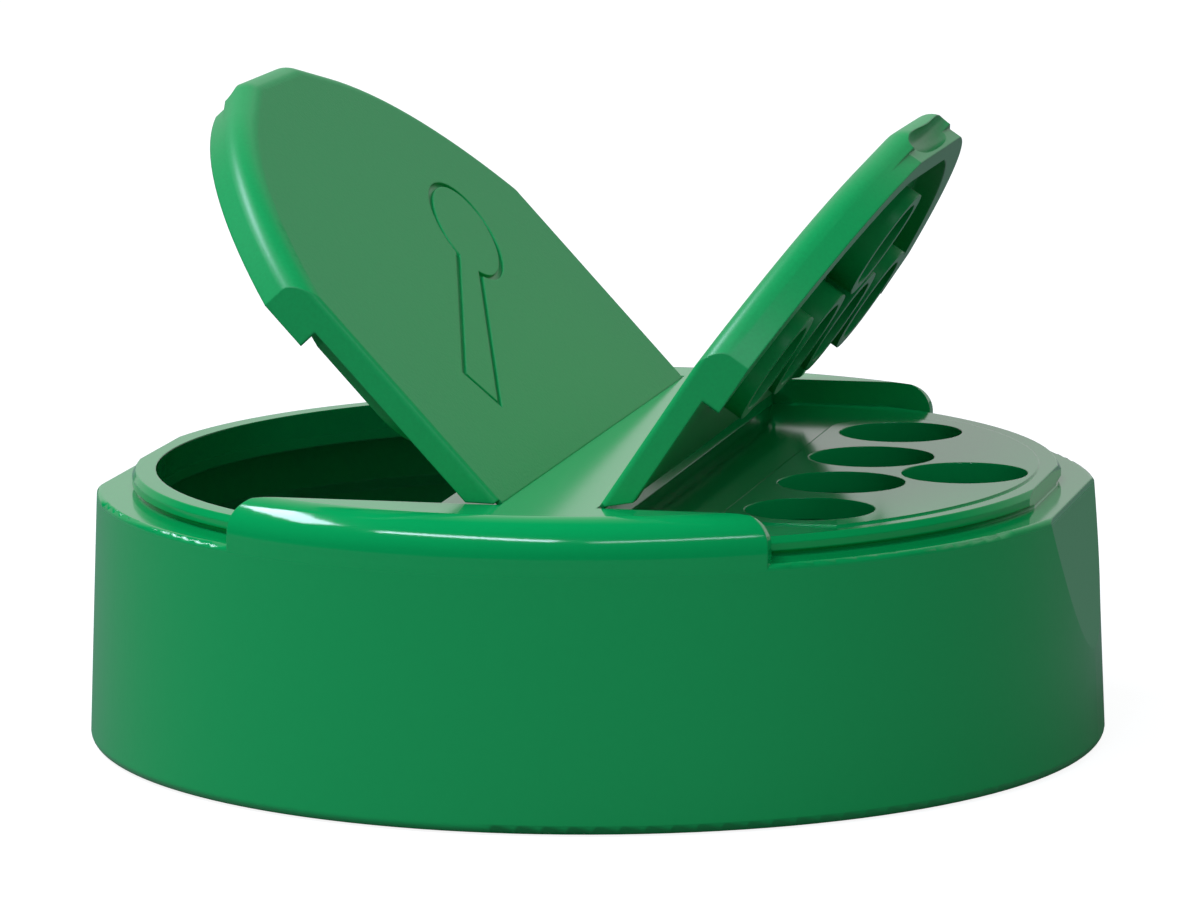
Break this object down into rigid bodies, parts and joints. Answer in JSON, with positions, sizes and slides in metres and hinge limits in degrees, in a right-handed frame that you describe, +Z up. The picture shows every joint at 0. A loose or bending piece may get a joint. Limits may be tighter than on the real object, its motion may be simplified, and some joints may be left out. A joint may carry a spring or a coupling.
{
  "type": "flip top cap",
  "caption": "Wide round screw cap for a spice jar with two hinged flaps: one uncovers a large spoon opening, the other a group of sifting holes.",
  "frame": {"origin": "centre of the skirt's open end, on the plane that the cap stands on", "axes": "+Z up out of the deck along the neck's axis, +Y along both hinge films, +X from the spoon side across the hinge strip to the sift side"},
  "size_m": [0.0664, 0.0664, 0.0426],
  "materials": {
    "green_polypropylene": "semi-gloss"
  },
  "bodies": {
    "cap": {"cap_body": "green_polypropylene"},
    "spoon_lid": {"spoon_flap": "green_polypropylene"},
    "sift_lid": {"sift_flap": "green_polypropylene"}
  },
  "joints": [
    {"name": "spoon_hinge", "type": "hinge", "parent": "cap", "child": "spoon_lid", "pos_m": [0.00005, 0, 0.01936], "axis": [0, 1, 0], "range_deg": [-47.35, 42.65]},
    {"name": "sift_hinge", "type": "hinge", "parent": "cap", "child": "sift_lid", "pos_m": [0.0062, 0, 0.01936], "axis": [0, -1, 0], "range_deg": [-55.9, 34.1]}
  ]
}
